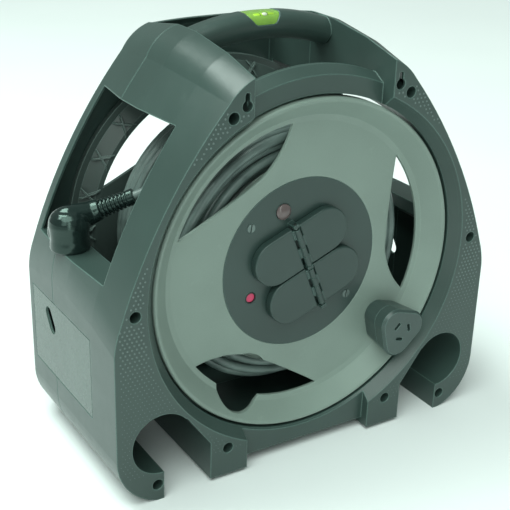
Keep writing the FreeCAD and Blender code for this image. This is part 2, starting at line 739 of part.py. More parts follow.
def socket_lid(along, side):
    """A sprung flap over one socket, with two knuckles on the hinge pin."""
    top = lid_form(lid_width - 0.8, lid_reach, lid_front_y, lid_back_y)
    top = top.makeFillet(lid_round, [edge for edge in top.Edges if edge.BoundBox.YMax < lid_front_y + 0.1])
    hollow = lid_form(lid_width - 4.8, lid_reach - 2.0, lid_front_y + 2.0, lid_back_y + 1)
    hollow = hollow.common(box(7.0, 80, lid_front_y - 5, lid_back_y + 5, -40, 40))
    lid = top.cut(hollow)
    first = -1.5 * knuckle_step if side > 0 else -0.5 * knuckle_step
    for z in (first, first + 2 * knuckle_step):
        low, high = z - knuckle_length / 2, z + knuckle_length / 2
        knuckle = Part.makeCylinder(knuckle_radius, knuckle_length, V(0, hinge_y, low), V(0, 0, 1))
        arm = box(0.0, 5.0, hinge_y, hinge_y + 2.8, low, high)
        lid = lid.fuse(knuckle.fuse(arm))
    pin_hole = Part.makeCylinder(hinge_radius + 0.06, 80, V(0, hinge_y, -40), V(0, 0, 1))
    lid = lid.cut(pin_hole)
    if side < 0:
        lid = mirrored(lid)
    lid.translate(V(0, 0, along))
    return in_panel(lid)


def knob_outline(corner_at, corner_radius, y):
    """A triangle with round corners: an arc at each corner and a line between."""
    steps = []
    start = None
    for k in range(3):
        angle = knob_turn + 120 * k
        cx, cz = polar(corner_at, angle)
        points = []
        for lean in (-60, 0, 60):
            dx, dz = polar(corner_radius, angle + lean)
            points.append((cx + dx, cz + dz))
        if start is None:
            start = points[0]
        else:
            steps.append(points[0])
        steps.append((points[1], points[2]))
    wire = outline(start, steps, y)
    wire.translate(V(knob_x, 0, knob_z))
    return wire


def knob_form(y0, y1):
    """A stretch of the knob, which flares from the flange to its face."""
    whole = loft([knob_outline(9.7, 14.6, arm_y), knob_outline(12.4, 16.5, face_edge_y)])
    return whole.common(box(50, 160, y0, y1, -140, -40))


def knob_base():
    """The fixed foot of the knob, shaped to the flange's face and its raised rim."""
    rim = turned([
        (0, arm_y), (dish_radius - 3, arm_y), (dish_radius + 3, arm_y - 1.5), (flange_radius - 4, rim_y + 1.0),
        (flange_radius - 4, 0), (0, 0),
    ])
    return knob_form(knob_split, arm_y).cut(rim).cut(cylinder(4.05, knob_split - 1, arm_y + 1, knob_x, knob_z))


def knob_grip():
    """The winding knob's turning part: its face has three parking slots for the plug."""
    face = loft([knob_outline(12.4, 16.5, face_edge_y), knob_outline(11.6, 14.8, knob_front)])
    body = knob_form(face_edge_y, knob_split - clearance).fuse(face)
    slots = []
    for k in range(3):
        slot = turn(box(7.2, 10.8, knob_front - 1, knob_front + 4.5, -4.4, 4.4), knob_turn + 120 * k)
        slot.translate(V(knob_x, 0, knob_z))
        slots.append(slot)
    bore = cylinder(4.06, knob_split - 5.0, knob_split, knob_x, knob_z)
    head_room = cylinder(7.0, knob_split - 9.4, knob_split - 4.4, knob_x, knob_z)
    return body.cut(fused(slots + [bore, head_room]))


def knob_bolt():
    head = cylinder(6.6, knob_split - 8.6, knob_split - 4.8, knob_x, knob_z)
    shank = cylinder(4.0, knob_split - 4.8, arm_y + 7.5, knob_x, knob_z)
    return head.fuse(shank)


def knob_nut():
    points = [polar(6.5, 60 * k) for k in range(6)]
    hexagon = prism(points[0], points[1:], arm_y + 4.0, arm_y + 7.0)
    hexagon.translate(V(knob_x, 0, knob_z))
    return hexagon.cut(cylinder(4.01, arm_y, arm_y + 10, knob_x, knob_z))


# ---- bearing -----------------------------------------------------------------------------------------
def spindle():
    shaft = cylinder(spindle_radius - 0.02, 8.0, rear_y - 1.0)
    shoulder = cylinder(11.0, 92.0, 95.8)
    groove = tube(12.0, 6.6, 10.0, 11.2)
    return shaft.fuse(shoulder).cut(groove)


def hub_bush(y0, y1):
    return tube(hub_radius - 3.0 - 0.02, spindle_radius + 0.05, y0, y1)


def retaining_clip():
    """An open spring clip in the spindle's groove."""
    ring = tube(10.5, 6.62, 10.1, 11.1)
    return ring.cut(box(-3.0, 3.0, 5, 15, 0, 20))


# ---- cord and plug -----------------------------------------------------------------------------------
lead_route = [
    V(-139.0, 6.0, 66.0), V(-119.0, -6.0, 76.0), V(-95.5, -13.0, 101.0), V(-60.5, -17.0, 125.0),
    V(-20.0, -19.0, 138.0), V(21.0, -19.5, 137.5),
]


def rounded_route(points):
    """A wire of straight runs with tangent arcs at the inner points."""
    edges = []
    here = points[0]
    for before, corner, after in zip(points, points[1:], points[2:]):
        back = (before - corner)
        ahead = (after - corner)
        run = 0.45 * min(back.Length, ahead.Length)
        back.normalize()
        ahead.normalize()
        half_turn = (math.pi - back.getAngle(ahead)) / 2
        radius = run / math.tan(half_turn)
        start, end = corner + back * run, corner + ahead * run
        to_centre = back + ahead
        to_centre.normalize()
        middle = corner + to_centre * (radius / math.cos(half_turn) - radius)
        edges.append(Part.LineSegment(here, start).toShape())
        edges.append(Part.Arc(start, middle, end).toShape())
        print("    bend radius %.1f mm" % radius)
        here = end
    edges.append(Part.LineSegment(here, points[-1]).toShape())
    return Part.Wire(edges)


def swept(points, radius):
    wire = rounded_route(points)
    first = points[1] - points[0]
    section = Part.Wire(Part.makeCircle(radius, points[0], first))
    solid = wire.makePipeShell([section], True, False)
    ideal = wire.Length * math.pi * radius ** 2
    print("    cord length %.1f mm, volume share %.3f" % (wire.Length, solid.Volume / ideal))
    return solid


def winding():
    """The outer form of the wound cord."""
    return tube(winding_radius, core_radius + 0.3, winding_y0, winding_y1)


plug_x, plug_y = -197.0, 29.0
plug_radius = 21.5
plug_top = 59.6
boot_start = V(-173.6, 26.8, 48.7)
plug_pin_angles = (0, 120, 240)
park_y0, park_y1 = 13.7, 44.3


def plug_body():
    """An angled plug standing on its pins: round at the top, with the cord leaving sideways."""
    base = Part.makeCone(plug_radius - 1.5, plug_radius, 22, V(plug_x, plug_y, window_z0), V(0, 0, 1))
    crown = Part.makeSphere(plug_radius, V(plug_x, plug_y, window_z0 + 22))
    crown = crown.common(box(-240, -150, -20, 90, window_z0 + 22, plug_top))
    direction = lead_route[0] - boot_start
    direction.normalize()
    neck = Part.makeCone(14.0, 11.0, 26, boot_start - direction * 18, direction)
    return fused([base, crown, neck])


def plug_boot():
    """The ribbed strain relief between the plug and the cord."""
    direction = lead_route[0] - boot_start
    length = direction.Length
    direction.normalize()
    start = boot_start + direction * 8
    run = length - 8
    core = Part.makeCone(9.0, 7.2, run, start, direction)
    ribs = []
    count = 6
    for k in range(count):
        place = start + direction * (2.0 + k * (run - 5.0) / count)
        ribs.append(Part.makeCylinder(9.6 - 0.3 * k, 2.4, place, direction))
    return fused([core] + ribs)


def pin_blocks(half_thickness, half_width_of_pin, z0, z1):
    """Three upright flat blocks under the plug, as pins or as the slots for them."""
    blocks = []
    for angle in plug_pin_angles:
        block = Part.makeBox(2 * half_thickness, 2 * half_width_of_pin, z1 - z0,
                             V(-half_thickness, -half_width_of_pin, z0))
        block.rotate(V(0, 0, 0), V(0, 0, 1), angle)
        dx, dy = polar(9.0, angle)
        block.translate(V(plug_x + dx, plug_y + dy, 0))
        blocks.append(block)
    return blocks


def plug_pins():
    return Part.makeCompound(pin_blocks(0.8, 3.1, window_z0 - 17.5, window_z0))


def park_space():
    """The space in the left sill, across both shells, that the parking block is clamped in."""
    return box(-208.0, -184.0, park_y0, park_y1, -8.0, window_z0 + 1)


def plug_park():
    """A block clamped between the shells under the left window: slots for the plug's pins, and a screw's bore."""
    block = box(-207.7, -184.3, park_y0, park_y1, -7.0, window_z0)
    x, z = screw_spots[1]
    bore = cylinder(4.6, park_y0 - 1, seam_y - 14.0, -x, z).fuse(cylinder(2.2, park_y0 - 1, park_y1 + 1, -x, z))
    return block.cut(fused(pin_blocks(1.1, 3.4, window_z0 - 19.0, window_z0 + 1) + [bore]))


# ---- every node --------------------------------------------------------------------------------------
def build():
    os.makedirs("parts", exist_ok=True)
    save("front_shell", front_shell())
    save("rear_shell", rear_shell())
    save("shell_screws", shell_screws())
    save("label_plate_right", label_plate())
    save("label_plate_left", mirrored(label_plate()))
    save("spirit_level", vial())
    save("plug_park", plug_park())
    save("spindle", spindle())
    save("retaining_clip", retaining_clip())
    save("plug_body", plug_body())
    save("plug_boot", plug_boot())
    save("plug_pins", plug_pins())
    save("cord_lead", swept(lead_route, cord_diameter / 2))
    save("front_flange", front_flange())
    save("rear_flange", rear_flange())
    save("drum_core", drum_core())
    save("flange_screws", flange_screws())
    save("hub_bush_front", hub_bush(14.0, 30.0))
    save("hub_bush_rear", hub_bush(70.0, 86.5))
    save("cord_winding", winding())
    save("socket_panel", socket_panel())
    save("panel_screws", panel_screws())
    for number, (x, z) in enumerate(socket_centres(), 1):
        save("socket_insert_%d" % number, socket_insert(x, z))
    save("socket_contacts", socket_contacts())
    save("busbar_live", busbar(pin_angles[0], arm_y + 23.0))
    save("busbar_neutral", busbar(pin_angles[1], arm_y + 26.0))
    save("busbar_earth", busbar(pin_angles[2], arm_y + 29.0))
    save("terminal_block", terminal_block())
    save("terminal_screws", terminal_screws())
    save("thermal_cutout", thermal_cutout())
    save("reset_button", reset_button())
    save("pilot_lens", pilot_lens())
    save("pilot_lamp", pilot_lamp())
    save("hinge_pin", hinge_pin())
    spots = [(-lid_width / 2 - 0.3, -1), (-lid_width / 2 - 0.3, 1), (lid_width / 2 + 0.3, -1),
             (lid_width / 2 + 0.3, 1)]
    for number, (along, side) in enumerate(spots, 1):
        save("socket_lid_%d" % number, socket_lid(along, side))
    save("knob_base", knob_base())
    save("knob_grip", knob_grip())
    save("knob_bolt", knob_bolt())
    save("knob_nut", knob_nut())


build()
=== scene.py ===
import json
import math
import random

import bmesh
import bpy
from mathutils import Matrix, Vector


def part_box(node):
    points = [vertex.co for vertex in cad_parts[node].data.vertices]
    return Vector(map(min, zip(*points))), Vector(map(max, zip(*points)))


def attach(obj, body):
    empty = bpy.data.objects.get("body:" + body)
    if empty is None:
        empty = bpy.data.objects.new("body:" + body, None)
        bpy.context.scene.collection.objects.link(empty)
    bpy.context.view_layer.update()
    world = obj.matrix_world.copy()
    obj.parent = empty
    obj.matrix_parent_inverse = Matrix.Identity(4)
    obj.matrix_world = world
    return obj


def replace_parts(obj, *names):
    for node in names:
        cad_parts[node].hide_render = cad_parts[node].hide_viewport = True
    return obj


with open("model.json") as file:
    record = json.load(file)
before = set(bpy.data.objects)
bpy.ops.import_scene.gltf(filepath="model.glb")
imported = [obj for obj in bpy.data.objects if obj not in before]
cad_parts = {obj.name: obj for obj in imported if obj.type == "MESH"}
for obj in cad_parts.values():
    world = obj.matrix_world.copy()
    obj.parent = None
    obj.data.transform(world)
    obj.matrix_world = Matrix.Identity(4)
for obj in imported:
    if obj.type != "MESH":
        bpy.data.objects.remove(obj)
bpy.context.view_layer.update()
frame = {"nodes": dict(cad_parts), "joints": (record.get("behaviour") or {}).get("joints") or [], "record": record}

# Looks of a cassette extension cord reel, in metres, in the CAD frame: X to the right, Y to the back, Z up.

random.seed(7)
record = frame["record"]
nodes = frame["nodes"]
drum_spin = next(joint for joint in frame["joints"] if joint["name"] == "drum_spin")
full_turn = 2 * math.pi

# ---- shell ------------------------------------------------------------------------------------------
axis_z = drum_spin["pos_m"][2]                     # height of the drum's axis
front_y = -0.107                                   # plane of the two columns' front faces
sill_z = axis_z + 0.0153                           # top of the sill that the plug stands on

# Outline of the right column's front face, at heights over the axis.
bottom_corner_z = -0.148                           # the bottom corner turns in below this height
bottom_corner_x = 0.2155                           # its outer end
bottom_corner_drop = 0.053                         # its height
bottom_corner_inset = 0.0415                       # how far it turns in over that height
flank_z = -0.0085                                  # the flank is upright from the corner to this height
flank_x = 0.2125
flank_points = ((0.209, -0.0085), (0.1625, 0.0957), (0.102, 0.1805))    # and an arc above it, as x and z

# ---- grip dots --------------------------------------------------------------------------------------
dot_pitch = 0.0046                                 # from one dot to the next in a row
row_rise = 0.87                                    # from one row to the next, in pitches
dot_rows = range(-42, 44)
dot_columns = range(16, 48)
dot_radius = 0.0011
dot_height = 0.55                                  # height of a dot, in radii
dot_sides = 7
dot_rings = [(1.0, 0.0), (0.80, 0.55), (0.45, 0.9)]    # shares of its radius and height
dot_shift = 0.0002                                 # a dot strays sideways by up to this
dots_full_z = 0.13                                 # full-size dots above this height
dots_none_z = 0.045                                # no dots from there down to this height
dots_fade_z = -0.03                                # below this height they get smaller
dots_fade = 0.11                                   # length over which they would shrink to nothing
finest_dot = 0.45                                  # but they don't get smaller than this share
drum_opening = 0.1865                              # radius round the axis that the dots keep clear of
column_inner = 0.079                               # inner side of a column's face
edge_margin = 0.003
hole_margin = 0.0022
hook_left, hook_right = 0.113, 0.168               # sides of the right tube hook's mouth
hook_top_z = -0.119
hook_slope = 1.385                                 # slope of the mouth's upper side
hook_shoulder = 0.1425                             # where that side meets the top
# Round holes in the right column's front face, the tube hook's too: x, height over the axis and radius.
face_holes = [
    (0.0972, 0.1673, 0.0056), (0.1941, -0.0003, 0.0056), (0.0966, -0.167, 0.0056), (0.1738, -0.1835, 0.0056),
    (0.0838, 0.1765, 0.0052), (0.0838, 0.186, 0.0026), (0.168, -0.1394, 0.0315),
]

# ---- spirit level -----------------------------------------------------------------------------------
tube_in, tube_up = 0.0075, 0.0062                  # the tube's middle, from the block's front and underside
# Profiles of the tube and the marks are pairs of a radius and a place along the tube.
tube_profile = [(0.0030, -0.0118), (0.0036, -0.0112), (0.0038, 0.0), (0.0036, 0.0112), (0.0030, 0.0118)]
mark_place = 0.0042                                # from the tube's middle to a mark
mark_profile = [(0.00392, -0.0003), (0.00396, 0.0), (0.00392, 0.0003)]
bubble_radius = 0.0024
bubble_offset = Vector((0.0006, -0.0012, 0.0019))  # from the tube's middle
bubble_stretch = 0.5                               # it is longer than wide by this share

# ---- cord -------------------------------------------------------------------------------------------
cord_diameter = 0.0095
# Middle of the free cord, from the plug's boot to the drum. Heights are over the axis.
lead_route = [Vector((x, y, z + axis_z)) for x, y, z in (
    (-0.1390, 0.0060, 0.0660), (-0.1190, -0.0060, 0.0760), (-0.0955, -0.0130, 0.1010),
    (-0.0605, -0.0170, 0.1250), (-0.0200, -0.0190, 0.1380), (0.0210, -0.0195, 0.1375),
)]
winding_low, winding_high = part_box("cord_winding")
winding_radius = (winding_high.x - winding_low.x) / 2
core_radius = 0.089                                # outside of the drum's core
core_gap = 0.0006                                  # between the core and the innermost layer
flange_gap = 0.001                                 # between a layer's end turns and the flanges
layers = 5
turns_in_layer = 14
steps_in_turn = 16                                 # spline points in one turn
swell = 1 / math.cos(math.pi / steps_in_turn)      # the spline runs inside its points by this factor
climb_share = 0.035                                # last part of a layer, where the cord goes to the next
crossing_steps = 13                                # points of the outermost turn, which crosses the others
crossing_sink = 0.003                              # how far that turn sinks where it starts
crossing_shift = 0.0005                            # its first step to the front
wander_waves = [(0.0011, 0.37, 1.3), (0.0009, 0.113, 0.0)]    # size, phase a step, phase a layer

# ---- plug -------------------------------------------------------------------------------------------
plug_centre = Vector((-0.197, 0.029, 0))
plug_radius = 0.0213
plug_sides = 48
# Height over the sill, share of the radius, and how far the section turns into a rounded square.
plug_profile = [
    (0.0, 0.90, 0.0), (0.0015, 0.93, 0.0), (0.007, 0.95, 0.2), (0.0115, 0.97, 0.5), (0.019, 0.98, 0.4),
    (0.025, 0.97, 0.1), (0.030, 0.91, 0.0), (0.0345, 0.80, 0.0), (0.038, 0.62, 0.0), (0.0405, 0.30, 0.0),
]
flat_share = 0.80                                  # half width of the rounded square, in plug radii
flat_power = 3.2                                   # the higher, the squarer
# Profiles of the neck and of the boot's foot are pairs of a radius and a place along the boot.
neck_profile = [(0.0125, -0.026), (0.0124, -0.014), (0.0118, -0.004), (0.0106, 0.005), (0.0098, 0.009)]
spine_radius = 0.0108                              # the thick bend at the plug's back
spine_foot = 0.016                                 # height of its lower end over the sill
spine_rise = 0.0165
spine_beads = 14
skin_voxel = 0.0007
skin_smoothing = 6
boot_start = Vector((-0.1736, 0.0268, 0.0487 + axis_z))
boot_sides = 40
boot_foot = [(0.0088, 0.004), (0.0088, 0.009)]
boot_ribs = 7
boot_first_rib = 0.0095                            # from the boot's start to its first groove
boot_plain = 0.016                                 # length without ribs, at both ends together
boot_groove, groove_taper = 0.0072, 0.00012        # radius of the first groove, and how the next ones shrink
boot_rib, rib_taper = 0.0093, 0.00022
rib_edge = 0.0004
boot_collar = 0.0080                               # radius of the collar at the cord's end

# ---- looks ------------------------------------------------------------------------------------------
# Scales of the noise that the materials are made with.
grain_scale, scuff_scale = 900, 60                 # moulded plastic
sheath_grain_scale, sheath_cloud_scale = 1500, 40
metal_scale = 400
clear_scale = 120
floor_scale = 1.5
# How far a rounded normal leans from the flat one, as a cosine: not an edge, and fully an edge.
not_edge, full_edge = 0.995, 0.86
acrylic_ior = 1.47
plug_ior = 1.55
plug_glint = (0.72, 1.0, 0.90, 1)                  # tint of the plug's reflections

# ---- camera and studio ------------------------------------------------------------------------------
view_azimuth = math.radians(-32.32)
view_elevation = math.radians(23.81)
view_roll = math.radians(1.695)
view_distance = 1.054                              # from the drum's axis at the front plane, along the view
view_right, view_up = -0.0604, 0.0178              # the camera's offset across the view
view_lens = 77.3
sensor_width = 36
floor_size = 40
studio_tint = (0.86, 1.0, 0.94)                    # the faint green of the studio's light


# ---- materials --------------------------------------------------------------------------------------
class Paint:
    """A material under construction: small helpers around its node tree."""

    def __init__(self, name):
        self.material = bpy.data.materials.new(name)
        self.material.use_nodes = True
        self.tree = self.material.node_tree
        self.shader = self.tree.nodes["Principled BSDF"]
        self.place = self.node("ShaderNodeTexCoord").outputs["Object"]

    def node(self, kind, **settings):
        made = self.tree.nodes.new(kind)
        for key, value in settings.items():
            setattr(made, key, value)
        return made

    def link(self, source, target):
        self.tree.links.new(source, target)

    def surface(self, socket, source):
        """Links a source to a socket of the shader."""
        self.link(source, self.shader.inputs[socket])

    def constant(self, socket, value):
        """Gives a socket of the shader one value."""
        self.shader.inputs[socket].default_value = value

    def noise(self, scale, detail, roughness=0.55):
        made = self.node("ShaderNodeTexNoise")
        made.inputs["Scale"].default_value = scale
        made.inputs["Detail"].default_value = detail
        made.inputs["Roughness"].default_value = roughness
        self.link(self.place, made.inputs["Vector"])
        return made.outputs["Fac"]

    def ramp(self, value, first, last):
        """From one (position, colour) to another."""
        made = self.node("ShaderNodeValToRGB")
        for element, (position, colour) in zip(made.color_ramp.elements, (first, last)):
            element.position = position
            element.color = (*colour, 1)
        self.link(value, made.inputs["Fac"])
        return made.outputs["Color"]

    def clouded(self, cloud, colour, dark, light):
        """A colour that drifts between a darker and a lighter tone."""
        return self.ramp(cloud, (0.3, tone(colour, dark)), (0.7, tone(colour, light)))

    def mixed(self, share, source, colour):
        """From a source to a fixed colour, by a share."""
        made = self.node("ShaderNodeMix", data_type="RGBA")
        self.link(share, made.inputs["Factor"])
        self.link(source, made.inputs["A"])
        made.inputs["B"].default_value = (*colour, 1)
        return made.outputs["Result"]

    def scaled(self, value, low, high):
        made = self.node("ShaderNodeMapRange")
        made.inputs["To Min"].default_value = low
        made.inputs["To Max"].default_value = high
        self.link(value, made.inputs["Value"])
        return made.outputs["Result"]

    def bump(self, height, distance, strength, under=None):
        made = self.node("ShaderNodeBump")
        made.inputs["Strength"].default_value = strength
        made.inputs["Distance"].default_value = distance
        self.link(height, made.inputs["Height"])
        if under is not None:
            self.link(under, made.inputs["Normal"])
        return made.outputs["Normal"]

    def rounded(self, radius):
        """A normal that rounds sharp edges over."""
        made = self.node("ShaderNodeBevel", samples=4)
        made.inputs["Radius"].default_value = radius
        return made.outputs["Normal"]

    def edges(self, radius):
        """A mask that is 1 on sharp edges, for the painted highlight that lightens them."""
        flat = self.node("ShaderNodeNewGeometry").outputs["Normal"]
        product = self.node("ShaderNodeVectorMath", operation="DOT_PRODUCT")
        self.link(self.rounded(radius), product.inputs[0])
        self.link(flat, product.inputs[1])
        made = self.node("ShaderNodeMapRange")
        made.inputs["From Min"].default_value = not_edge
        made.inputs["From Max"].default_value = full_edge
        self.link(product.outputs["Value"], made.inputs["Value"])
        return made.outputs["Result"]


def tone(colour, factor):
    return tuple(min(1.0, channel * factor) for channel in colour)


def moulded_plastic(name, colour, roughness, grain=0.00006, edge=0.0012, edge_highlight_gain=2.2, cloud_size=9):
    """Injection-moulded plastic: fine grain, cloudy colour, rounded edges with a painted highlight along them."""
    paint = Paint(name)
    fine = paint.noise(grain_scale, 2)
    scuff = paint.noise(scuff_scale, 6, 0.7)
    scuffed = paint.ramp(scuff, (0.62, (0, 0, 0)), (0.8, (0.35, 0.35, 0.35)))
    body = paint.clouded(paint.noise(cloud_size, 3), colour, 0.84, 1.14)
    body = paint.mixed(paint.scaled(fine, 0, 0.3), body, tone(colour, 1.3))
    body = paint.mixed(scuffed, body, tone(colour, 1.5))
    # Painted highlight: sharp edges are mixed towards a lighter tone, standing in for the light lines that light
    # draws along them.
    body = paint.mixed(paint.edges(edge), body, tone(colour, edge_highlight_gain))
    paint.surface("Base Color", body)
    paint.surface("Roughness", paint.scaled(scuff, roughness - 0.08, roughness + 0.1))
    paint.surface("Normal", paint.bump(fine, grain, 0.6, paint.rounded(edge)))
    return paint.material


def glossy_plug_rubber():
    """The plug's shiny soft black."""
    material = moulded_plastic(
        "plug_gloss", (0.009, 0.016, 0.015), 0.16, grain=0.00001, edge=0.0006, edge_highlight_gain=2.5,
    )
    shader = material.node_tree.nodes["Principled BSDF"]
    shader.inputs["Specular Tint"].default_value = plug_glint
    shader.inputs["IOR"].default_value = plug_ior
    return material


def cord_sheath():
    """The cord's dark rubber, cloudy and slightly shiny."""
    paint = Paint("cord_rubber")
    cloud = paint.noise(sheath_cloud_scale, 5)
    fine = paint.noise(sheath_grain_scale, 2)
    body = paint.ramp(cloud, (0.3, (0.075, 0.105, 0.098)), (0.75, (0.175, 0.230, 0.215)))
    paint.surface("Base Color", body)
    paint.surface("Roughness", paint.scaled(cloud, 0.26, 0.42))
    paint.surface("Normal", paint.bump(fine, 0.00005, 0.5))
    return paint.material


def brushed_metal(name, colour, roughness):
    paint = Paint(name)
    fine = paint.noise(metal_scale, 3)
    paint.surface("Base Color", paint.clouded(fine, colour, 0.8, 1.15))
    paint.surface("Roughness", paint.scaled(fine, roughness - 0.08, roughness + 0.08))
    paint.surface("Normal", paint.bump(fine, 0.00003, 0.5, paint.rounded(0.0003)))
    paint.constant("Metallic", 1.0)
    return paint.material


def clear_plastic(name, colour, transmission, roughness):
    paint = Paint(name)
    cloud = paint.noise(clear_scale, 2)
    paint.surface("Base Color", paint.clouded(cloud, colour, 0.92, 1.06))
    paint.surface("Roughness", paint.scaled(cloud, roughness, roughness + 0.04))
    paint.surface("Normal", paint.rounded(0.0008))
    paint.constant("Transmission Weight", transmission)
    paint.constant("IOR", acrylic_ior)
    return paint.material


def pale_floor():
    paint = Paint("floor")
    cloud = paint.noise(floor_scale, 2)
    body = paint.ramp(cloud, (0.3, (0.840, 0.860, 0.862)), (0.7, (0.870, 0.890, 0.892)))
    paint.surface("Base Color", body)
    paint.constant("Roughness", 0.95)
    paint.constant("Specular IOR Level", 0.1)
    return paint.material


def paint_node(name, material):
    slots = nodes[name].data.materials
    slots.clear()
    slots.append(material)


# ---- mesh helpers -----------------------------------------------------------------------------------
def add_mesh(name, mesh, material, body, smooth=True):
    """Makes a piece from a mesh, which moves with a body."""
    data = bpy.data.meshes.new(name)
    mesh.to_mesh(data)
    mesh.free()
    for face in data.polygons:
        face.use_smooth = smooth
    piece = bpy.data.objects.new(name, data)
    bpy.context.scene.collection.objects.link(piece)
    data.materials.append(material)
    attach(piece, body)
    return piece


def angles_round(sides):
    """Equal steps round a circle."""
    return [full_turn * k / sides for k in range(sides)]


def skin_rings(mesh, rings, closed_start=True):
    """Joins rings of points into a skin. The end is closed, and the start too unless it lies on a face."""
    if closed_start:
        mesh.faces.new(tuple(reversed(rings[0])))
    for low, high in zip(rings, rings[1:]):
        for k in range(len(low)):
            m = (k + 1) % len(low)
            mesh.faces.new((low[k], low[m], high[m], high[k]))
    mesh.faces.new(rings[-1])


def lathe(mesh, profile, matrix, sides=32):
    """Adds a solid of revolution about its own Z from (radius, height) pairs."""
    rings = []
    for radius, height in profile:
        points = [Vector((radius * math.cos(a), radius * math.sin(a), height)) for a in angles_round(sides)]
        rings.append([mesh.verts.new(matrix @ point) for point in points])
    skin_rings(mesh, rings)


def add_ball(mesh, radius, centre):
    bmesh.ops.create_icosphere(mesh, subdivisions=3, radius=radius, matrix=Matrix.Translation(centre))


def blended(name, mesh, voxel, rounds):
    """Melts overlapping forms into one smooth skin."""
    data = bpy.data.meshes.new(name + "_parts")
    mesh.to_mesh(data)
    mesh.free()
    rough = bpy.data.objects.new(name + "_parts", data)
    bpy.context.scene.collection.objects.link(rough)
    remesh = rough.modifiers.new("skin", "REMESH")
    remesh.mode = "VOXEL"
    remesh.voxel_size = voxel
    smooth = rough.modifiers.new("soften", "SMOOTH")
    smooth.factor = 0.5
    smooth.iterations = rounds
    graph = bpy.context.evaluated_depsgraph_get()
    skin = bpy.data.meshes.new_from_object(rough.evaluated_get(graph))
    bpy.data.objects.remove(rough)
    bpy.data.meshes.remove(data)
    result = bmesh.new()
    result.from_mesh(skin)
    bpy.data.meshes.remove(skin)
    return result


# ---- cord -------------------------------------------------------------------------------------------
def add_cord(name, points, material, body, node):
    """A round cord that runs smoothly past the points, in place of a CAD node."""
    data = bpy.data.curves.new(name, "CURVE")
    data.dimensions = "3D"
    spline = data.splines.new("NURBS")
    spline.points.add(len(points) - 1)
    for made, point in zip(spline.points, points):
        made.co = (*point, 1)
        made.radius = cord_diameter / 2
    spline.order_u = 3
    spline.use_endpoint_u = True
    spline.resolution_u = 5
    data.bevel_depth = 1.0
    data.bevel_resolution = 3
    data.use_fill_caps = True
    data.materials.append(material)
    cord = bpy.data.objects.new(name, data)
    bpy.context.scene.collection.objects.link(cord)
    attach(cord, body)
    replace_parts(cord, node)
    return cord


def curve_length(curve):
    """The centreline's length, from the spline itself."""
    depth = curve.data.bevel_depth
    curve.data.bevel_depth = 0
    curve.data.use_fill_caps = False
    line = bpy.data.meshes.new_from_object(curve)
    curve.data.bevel_depth = depth
    curve.data.use_fill_caps = True
    ends = [[line.vertices[index].co for index in edge.vertices] for edge in line.edges]
    length = sum((first - last).length for first, last in ends)
    bpy.data.meshes.remove(line)
    return length


def wander(k, layer):
    """How far the cord strays sideways from its even turns."""
    return sum(size * math.sin(step * k + shift * layer) for size, step, shift in wander_waves)


def crossing_turn(radius, y, y_front, angle, outer, step):
    """The outermost turn, from the free cord across the others to the front flange."""
    path = [(radius, y, angle), (radius - crossing_sink / 2, y - crossing_shift, angle + step)]
    for k in range(2, crossing_steps):
        share = k / crossing_steps
        sunk = outer + (radius - crossing_sink - outer) * (1 - share ** 3)
        path.append((sunk, y + (y_front - y) * share, angle + k * step))
    return path


def layered_turns(y_front, y_back, angle, outer, step):
    """The turns that lie to and fro between the flanges, layer under layer down to the core."""
    inner = core_radius + cord_diameter / 2 + core_gap
    path = []
    for k in range(layers * turns_in_layer * steps_in_turn):
        layer, along = divmod(k / steps_in_turn / turns_in_layer, 1.0)
        y = y_front + (y_back - y_front) * (along if layer % 2 == 0 else 1 - along)
        climb = max(0.0, (along - 1 + climb_share) / climb_share)
        depth = (layer + climb) / (layers - 1) if layer < layers - 1 else 1.0
        path.append((outer + (inner - outer) * min(depth, 1.0), y + wander(k, layer), angle + k * step))
    return path


def winding_points():
    """The wound cord, from the end of the free cord to the core."""
    start = lead_route[-1]
    radius = math.hypot(start.x, start.z - axis_z)
    angle = math.atan2(start.z - axis_z, start.x)
    step = -full_turn / steps_in_turn
    outer = winding_radius - cord_diameter / 2
    y_front = winding_low.y + cord_diameter / 2 + flange_gap
    y_back = winding_high.y - cord_diameter / 2 - flange_gap
    path = crossing_turn(radius, start.y, y_front, angle, outer, step)
    path += layered_turns(y_front, y_back, angle + crossing_steps * step, outer, step)
    points = [Vector((r * swell * math.cos(a), y, r * swell * math.sin(a) + axis_z)) for r, y, a in path]
    points[0] = start
    return points


# ---- grip dots --------------------------------------------------------------------------------------
def circle_through(first, middle, last):
    """Centre and radius of the circle through three (x, z) points."""
    (ax, az), (bx, bz), (cx, cz) = first, middle, last
    spread = 2 * (ax * (bz - cz) + bx * (cz - az) + cx * (az - bz))
    a, b, c = ax * ax + az * az, bx * bx + bz * bz, cx * cx + cz * cz
    x = (a * (bz - cz) + b * (cz - az) + c * (az - bz)) / spread
    z = (a * (cx - bx) + b * (ax - cx) + c * (bx - ax)) / spread
    return x, z, math.hypot(ax - x, az - z)


def column_edge(z):
    """How far out the front face reaches at a height over the axis."""
    if z < bottom_corner_z:
        return bottom_corner_x - bottom_corner_inset * ((bottom_corner_z - z) / bottom_corner_drop) ** 2
    if z < flank_z:
        return flank_x
    centre_x, centre_z, radius = circle_through(*flank_points)
    return centre_x + math.sqrt(max(0.0, radius ** 2 - (z - centre_z) ** 2))


def dot_weight(z):
    """How bold the dots are: strong by the keyholes and beside the drum, finer down the columns."""
    if z > dots_full_z:
        return 1.0
    if z > dots_none_z:
        return 0.0
    return max(finest_dot, min(1.0, 1.0 + (z - dots_fade_z) / dots_fade))


def in_hook_mouth(x, z):
    below_top = z < hook_top_z and z < hook_top_z - hook_slope * (hook_shoulder - x)
    return hook_left < x < hook_right and below_top


def on_front_face(x, z):
    """Whether a dot fits there on the right column's face."""
    if math.hypot(x, z) < drum_opening or x < column_inner or x > column_edge(z) - edge_margin:
        return False
    if in_hook_mouth(x, z):
        return False
    return all(math.hypot(x - hx, z - hz) > hole + hole_margin for hx, hz, hole in face_holes)


